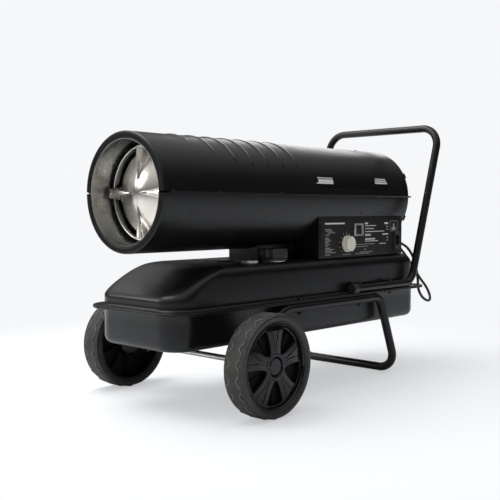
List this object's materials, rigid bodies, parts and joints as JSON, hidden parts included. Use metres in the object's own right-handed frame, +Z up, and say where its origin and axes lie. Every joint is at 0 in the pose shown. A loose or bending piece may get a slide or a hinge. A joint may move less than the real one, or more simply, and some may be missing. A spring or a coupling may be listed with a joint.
{
  "type": "forced air heater",
  "caption": "Wheeled torpedo-style forced air heater: round burner shell over a fuel tank, with a tube handle and leg frame.",
  "frame": {"origin": "on the floor below the middle of the heater's bounding box, without the cord", "axes": "+Z up, +Y towards the handle, -Y towards the hot air outlet, +X to the control side"},
  "size_m": [0.4866, 0.959, 0.6191],
  "materials": {
    "black_paint": "satin black powder coat",
    "gloss_black": "gloss black moulded plastic",
    "tyre_rubber": "dark warm grey rubber",
    "zinc": "bright zinc plate",
    "galvanised": "galvanised sheet",
    "stainless": "bright pressed stainless",
    "cast_aluminium": "satin cast aluminium",
    "black_plastic": "black moulded plastic",
    "cream_plastic": "cream moulded plastic",
    "panel_label": "printed dark grey film",
    "dark_glass": "dark smoked window",
    "clear_lens": "clear lens",
    "circuit_board": "green circuit board",
    "brass": "brass",
    "hose": "black rubber",
    "red_paint": "red pointer"
  },
  "bodies": {
    "heater": {"upper_shell": "black_paint", "lower_shell": "black_paint", "rear_guard": "black_paint", "pedestal": "black_paint", "control_cover": "black_paint", "far_cover": "black_paint", "tank_upper": "black_paint", "tank_lower": "black_paint", "leg_frame": "black_paint", "handle": "black_paint", "frame_bolt_front_left": "black_paint", "frame_bolt_front_right": "black_paint", "frame_bolt_middle_left": "black_paint", "frame_bolt_middle_right": "black_paint", "frame_bolt_rear_left": "black_paint", "frame_bolt_rear_right": "black_paint", "hub_cap_left": "gloss_black", "hub_cap_right": "gloss_black", "filler_neck": "zinc", "gauge_body": "zinc", "drain_plug": "zinc", "axle": "zinc", "outlet_liner": "galvanised", "combustion_chamber": "galvanised", "motor_bracket": "galvanised", "display_frame": "galvanised", "nose_dome": "stainless", "burner_head": "cast_aluminium", "motor": "cast_aluminium", "pump_body": "cast_aluminium", "photocell": "black_plastic", "pump_end_cover": "black_plastic", "thermostat": "black_plastic", "switch_housing": "black_plastic", "ignition_transformer": "black_plastic", "handle_cap_left": "black_plastic", "handle_cap_right": "black_plastic", "cord_gland": "black_plastic", "power_plug": "black_plastic", "spark_electrode": "cream_plastic", "control_panel": "panel_label", "display_window": "dark_glass", "gauge_lens": "clear_lens", "control_board": "circuit_board", "nozzle": "brass", "fuel_filter": "brass", "fuel_line": "hose", "air_line": "hose", "power_cord": "hose"},
    "wheel_left": {"wheel_left": "gloss_black", "tyre_left": "tyre_rubber"},
    "wheel_right": {"wheel_right": "gloss_black", "tyre_right": "tyre_rubber"},
    "fan_rotor": {"fan": "cast_aluminium", "motor_shaft": "zinc"},
    "cap": {"fuel_cap": "black_plastic"},
    "knob": {"thermostat_knob": "cream_plastic"},
    "rocker": {"power_switch": "gloss_black"},
    "needle": {"gauge_needle": "red_paint"},
    "float": {"float_arm": "brass"}
  },
  "joints": [
    {"name": "wheel_left_spin", "type": "hinge", "parent": "heater", "child": "wheel_left", "pos_m": [0.2188, -0.26725, 0.1016], "axis": [1, 0, 0], "continuous": true},
    {"name": "wheel_right_spin", "type": "hinge", "parent": "heater", "child": "wheel_right", "pos_m": [-0.2188, -0.26725, 0.1016], "axis": [1, 0, 0], "continuous": true},
    {"name": "fan_spin", "type": "hinge", "parent": "heater", "child": "fan_rotor", "pos_m": [0, 0.23025, 0.4332], "axis": [0, 1, 0], "continuous": true},
    {"name": "fuel_cap_turn", "type": "hinge", "parent": "heater", "child": "cap", "pos_m": [0.085, -0.10175, 0.3], "axis": [0, 0, 1], "range_deg": [0, 360]},
    {"name": "thermostat_turn", "type": "hinge", "parent": "heater", "child": "knob", "pos_m": [0.112, 0.12625, 0.321], "axis": [-1, 0, 0], "range_deg": [0, 270]},
    {"name": "power_switch_rock", "type": "hinge", "parent": "heater", "child": "rocker", "pos_m": [0.11, 0.34025, 0.324], "axis": [0, -1, 0], "range_deg": [0, 14]},
    {"name": "float_swing", "type": "hinge", "parent": "heater", "child": "float", "pos_m": [0.088, -0.18175, 0.264], "axis": [-1, 0, 0], "range_deg": [0, 54]},
    {"name": "gauge_needle_turn", "type": "hinge", "parent": "heater", "child": "needle", "pos_m": [0.088, -0.18175, 0.291], "axis": [0, 0, 1], "range_deg": [0, 90]}
  ],
  "couplings": [
    {"joint": "gauge_needle_turn", "follows": "float_swing", "ratio": 1.6666}
  ]
}
